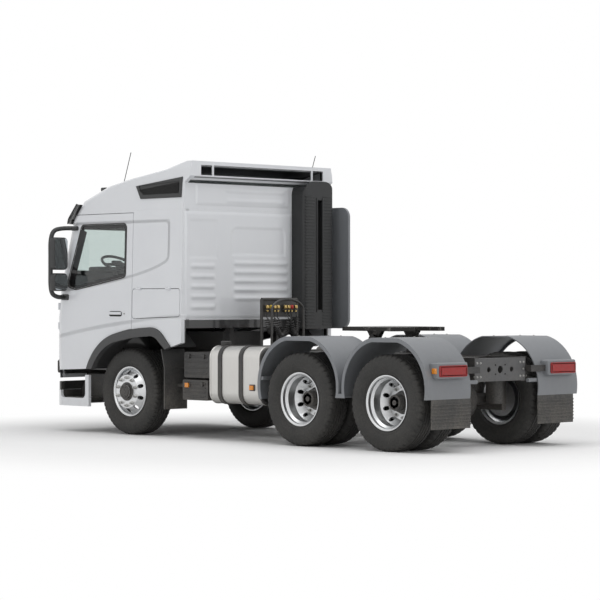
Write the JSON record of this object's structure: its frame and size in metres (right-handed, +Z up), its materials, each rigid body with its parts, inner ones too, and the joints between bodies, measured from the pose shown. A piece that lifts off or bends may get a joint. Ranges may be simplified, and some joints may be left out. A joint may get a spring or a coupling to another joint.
{
  "type": "semi truck tractor unit",
  "caption": "Tractor unit with a high-roof sleeper cab over its engine, twin driven rear axles, fenders and a coupling plate; cab, doors, lids, steering and wheels move",
  "frame": {"origin": "on the ground under the middle of the vehicle's bounding box", "axes": "+X forward, +Y to the vehicle's left, +Z up"},
  "size_m": [6.45, 2.99, 3.4058],
  "materials": {
    "tyre": "black road tyre rubber with grey dust in the tread",
    "wheel_alloy": "silver wheel, satin, dark hub cap",
    "chassis_black": "satin black chassis paint",
    "member_grey": "satin black chassis paint",
    "coupling_steel": "black painted cast steel, greased and worn on top",
    "deck_alloy": "chequered aluminium walkway",
    "tank_alloy": "brushed aluminium",
    "box_black": "grained black plastic",
    "flap_rubber": "dark grey ribbed rubber",
    "fender_grey": "mid grey moulded plastic",
    "tail_lamp_red": "red ribbed lens with an amber field",
    "marker_amber": "amber lens",
    "cab_paint": "white gloss paint",
    "trim_black": "fine grained dark grey plastic",
    "visor_tint": "dark smoked acrylic",
    "glass": "grey green safety glass",
    "lamp_clear": "clear lens over a bright reflector",
    "dash_plastic": "dark grey grained plastic",
    "seat_fabric": "dark grey woven cloth"
  },
  "bodies": {
    "chassis": {"frame": "chassis_black", "tail_member": "member_grey", "engine_block": "chassis_black", "front_axle": "chassis_black", "drive_axles": "chassis_black", "fuel_tank": "tank_alloy", "side_boxes": "box_black", "exhaust_box": "box_black", "front_flaps": "flap_rubber", "rear_fenders": "fender_grey", "rear_flaps": "flap_rubber", "tail_lamps": "tail_lamp_red", "marker_lamps": "marker_amber", "deck_plate": "deck_alloy", "hose_stand": "chassis_black", "fifth_wheel_mount": "coupling_steel", "bumper": "cab_paint", "bumper_band": "trim_black", "bumper_beam": "chassis_black", "entry_steps": "trim_black"},
    "cab": {"cab_shell": "cab_paint", "roof_cap": "cab_paint", "roof_fittings": "trim_black", "sun_visor": "visor_tint", "windscreen": "glass", "grille": "cab_paint", "front_corners": "cab_paint", "headlamps": "lamp_clear", "front_posts": "trim_black", "front_arches": "trim_black", "intake_duct": "trim_black", "side_deflector": "fender_grey", "dashboard": "dash_plastic", "seats": "seat_fabric", "bunk": "seat_fabric"},
    "door_left_body": {"door_left": "cab_paint", "door_glass_left": "glass", "mirrors_left": "trim_black"},
    "door_right_body": {"door_right": "cab_paint", "door_glass_right": "glass", "mirrors_right": "trim_black"},
    "front_lid_body": {"front_lid": "cab_paint"},
    "locker_left_body": {"locker_left": "cab_paint"},
    "locker_right_body": {"locker_right": "cab_paint"},
    "knuckle_left_body": {"knuckle_left": "chassis_black"},
    "knuckle_right_body": {"knuckle_right": "chassis_black"},
    "front_wheel_left": {"front_tyre_left": "tyre", "front_rim_left": "wheel_alloy"},
    "front_wheel_right": {"front_tyre_right": "tyre", "front_rim_right": "wheel_alloy"},
    "drive_wheels_1_left": {"drive_tyres_1_left": "tyre", "drive_rims_1_left": "wheel_alloy"},
    "drive_wheels_1_right": {"drive_tyres_1_right": "tyre", "drive_rims_1_right": "wheel_alloy"},
    "drive_wheels_2_left": {"drive_tyres_2_left": "tyre", "drive_rims_2_left": "wheel_alloy"},
    "drive_wheels_2_right": {"drive_tyres_2_right": "tyre", "drive_rims_2_right": "wheel_alloy"},
    "fifth_wheel": {"fifth_wheel_plate": "coupling_steel"}
  },
  "joints": [
    {"name": "cab_tilt", "type": "hinge", "parent": "chassis", "child": "cab", "pos_m": [3.095, 0, 0.96], "axis": [0, 1, 0], "range_deg": [0, 60]},
    {"name": "door_left_swing", "type": "hinge", "parent": "cab", "child": "door_left_body", "pos_m": [3.0575, 1.203, 1.4], "axis": [0, 0, -1], "range_deg": [0, 70]},
    {"name": "locker_left_lift", "type": "hinge", "parent": "cab", "child": "locker_left_body", "pos_m": [1.19, 1.242, 1.7535], "axis": [1, 0, 0], "range_deg": [0, 80]},
    {"name": "steer_left", "type": "hinge", "parent": "chassis", "child": "knuckle_left_body", "pos_m": [1.795, 0.92, 0.52], "axis": [0, 0, 1], "range_deg": [-38, 38]},
    {"name": "front_wheel_left_spin", "type": "hinge", "parent": "knuckle_left_body", "child": "front_wheel_left", "pos_m": [1.795, 1.01, 0.52], "axis": [0, 1, 0], "continuous": true},
    {"name": "drive_1_left_spin", "type": "hinge", "parent": "chassis", "child": "drive_wheels_1_left", "pos_m": [-1.205, 0.919, 0.52], "axis": [0, 1, 0], "continuous": true},
    {"name": "drive_2_left_spin", "type": "hinge", "parent": "chassis", "child": "drive_wheels_2_left", "pos_m": [-2.525, 0.919, 0.52], "axis": [0, 1, 0], "continuous": true},
    {"name": "door_right_swing", "type": "hinge", "parent": "cab", "child": "door_right_body", "pos_m": [3.0575, -1.203, 1.4], "axis": [0, 0, 1], "range_deg": [0, 70]},
    {"name": "locker_right_lift", "type": "hinge", "parent": "cab", "child": "locker_right_body", "pos_m": [1.19, -1.242, 1.7535], "axis": [-1, 0, 0], "range_deg": [0, 80]},
    {"name": "steer_right", "type": "hinge", "parent": "chassis", "child": "knuckle_right_body", "pos_m": [1.795, -0.92, 0.52], "axis": [0, 0, 1], "range_deg": [-38, 38]},
    {"name": "front_wheel_right_spin", "type": "hinge", "parent": "knuckle_right_body", "child": "front_wheel_right", "pos_m": [1.795, -1.01, 0.52], "axis": [0, 1, 0], "continuous": true},
    {"name": "drive_1_right_spin", "type": "hinge", "parent": "chassis", "child": "drive_wheels_1_right", "pos_m": [-1.205, -0.919, 0.52], "axis": [0, 1, 0], "continuous": true},
    {"name": "drive_2_right_spin", "type": "hinge", "parent": "chassis", "child": "drive_wheels_2_right", "pos_m": [-2.525, -0.919, 0.52], "axis": [0, 1, 0], "continuous": true},
    {"name": "front_lid_lift", "type": "hinge", "parent": "cab", "child": "front_lid_body", "pos_m": [3.194, 0, 1.6935], "axis": [0, -1, 0], "range_deg": [0, 80]},
    {"name": "coupling_tilt", "type": "hinge", "parent": "chassis", "child": "fifth_wheel", "pos_m": [-1.505, 0, 1.205], "axis": [0, 1, 0], "range_deg": [-12, 12]}
  ],
  "couplings": [
    {"joint": "steer_right", "follows": "steer_left", "ratio": 1}
  ]
}
